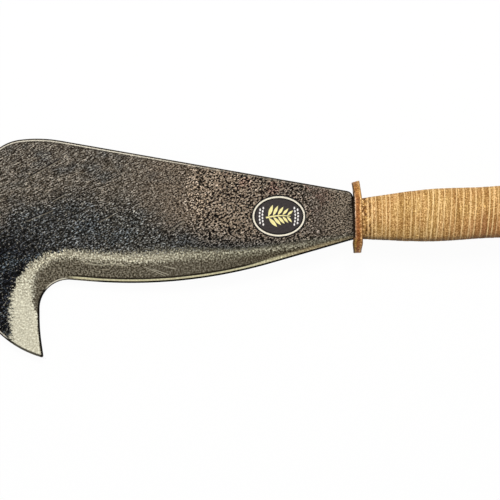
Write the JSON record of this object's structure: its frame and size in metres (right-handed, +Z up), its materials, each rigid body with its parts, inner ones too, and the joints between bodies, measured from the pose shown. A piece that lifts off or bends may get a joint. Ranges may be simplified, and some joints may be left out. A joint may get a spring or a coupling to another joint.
{
  "type": "billhook",
  "caption": "Farm billhook with a broad hooked forged blade, a double-ground cutting edge and an oval grip of stacked leather washers between a guard and a pommel.",
  "frame": {"origin": "middle of the tool's footprint, on the bench that it lies on", "axes": "+X along the tool from the nose to the pommel, +Y from the edge to the spine, +Z up, out of the labelled cheek"},
  "size_m": [0.3978, 0.1466, 0.0476],
  "materials": {
    "forged_steel": "dark forge scale on the cheeks, bare ground steel on the bevels",
    "rim_leather": "burnished thick leather",
    "grip_leather": "sanded edges of vegetable-tanned leather",
    "plate_steel": "plain steel plate",
    "label": "black sticker with a cream ring and a plant motif"
  },
  "bodies": {
    "root": {"blade": "forged_steel", "guard_washer": "rim_leather", "grip_washer_01": "grip_leather", "grip_washer_02": "grip_leather", "grip_washer_03": "grip_leather", "grip_washer_04": "grip_leather", "grip_washer_05": "grip_leather", "grip_washer_06": "grip_leather", "grip_washer_07": "grip_leather", "grip_washer_08": "grip_leather", "grip_washer_09": "grip_leather", "grip_washer_10": "grip_leather", "grip_washer_11": "grip_leather", "grip_washer_12": "grip_leather", "grip_washer_13": "grip_leather", "grip_washer_14": "grip_leather", "grip_washer_15": "grip_leather", "grip_washer_16": "grip_leather", "grip_washer_17": "grip_leather", "grip_washer_18": "grip_leather", "grip_washer_19": "grip_leather", "grip_washer_20": "grip_leather", "grip_washer_21": "grip_leather", "grip_washer_22": "grip_leather", "grip_washer_23": "grip_leather", "grip_washer_24": "grip_leather", "grip_washer_25": "grip_leather", "grip_washer_26": "grip_leather", "grip_washer_27": "grip_leather", "grip_washer_28": "grip_leather", "grip_washer_29": "grip_leather", "grip_washer_30": "grip_leather", "grip_washer_31": "grip_leather", "grip_washer_32": "grip_leather", "grip_washer_33": "grip_leather", "pommel_washer": "rim_leather", "end_plate": "plate_steel", "label": "label"}
  },
  "joints": []
}
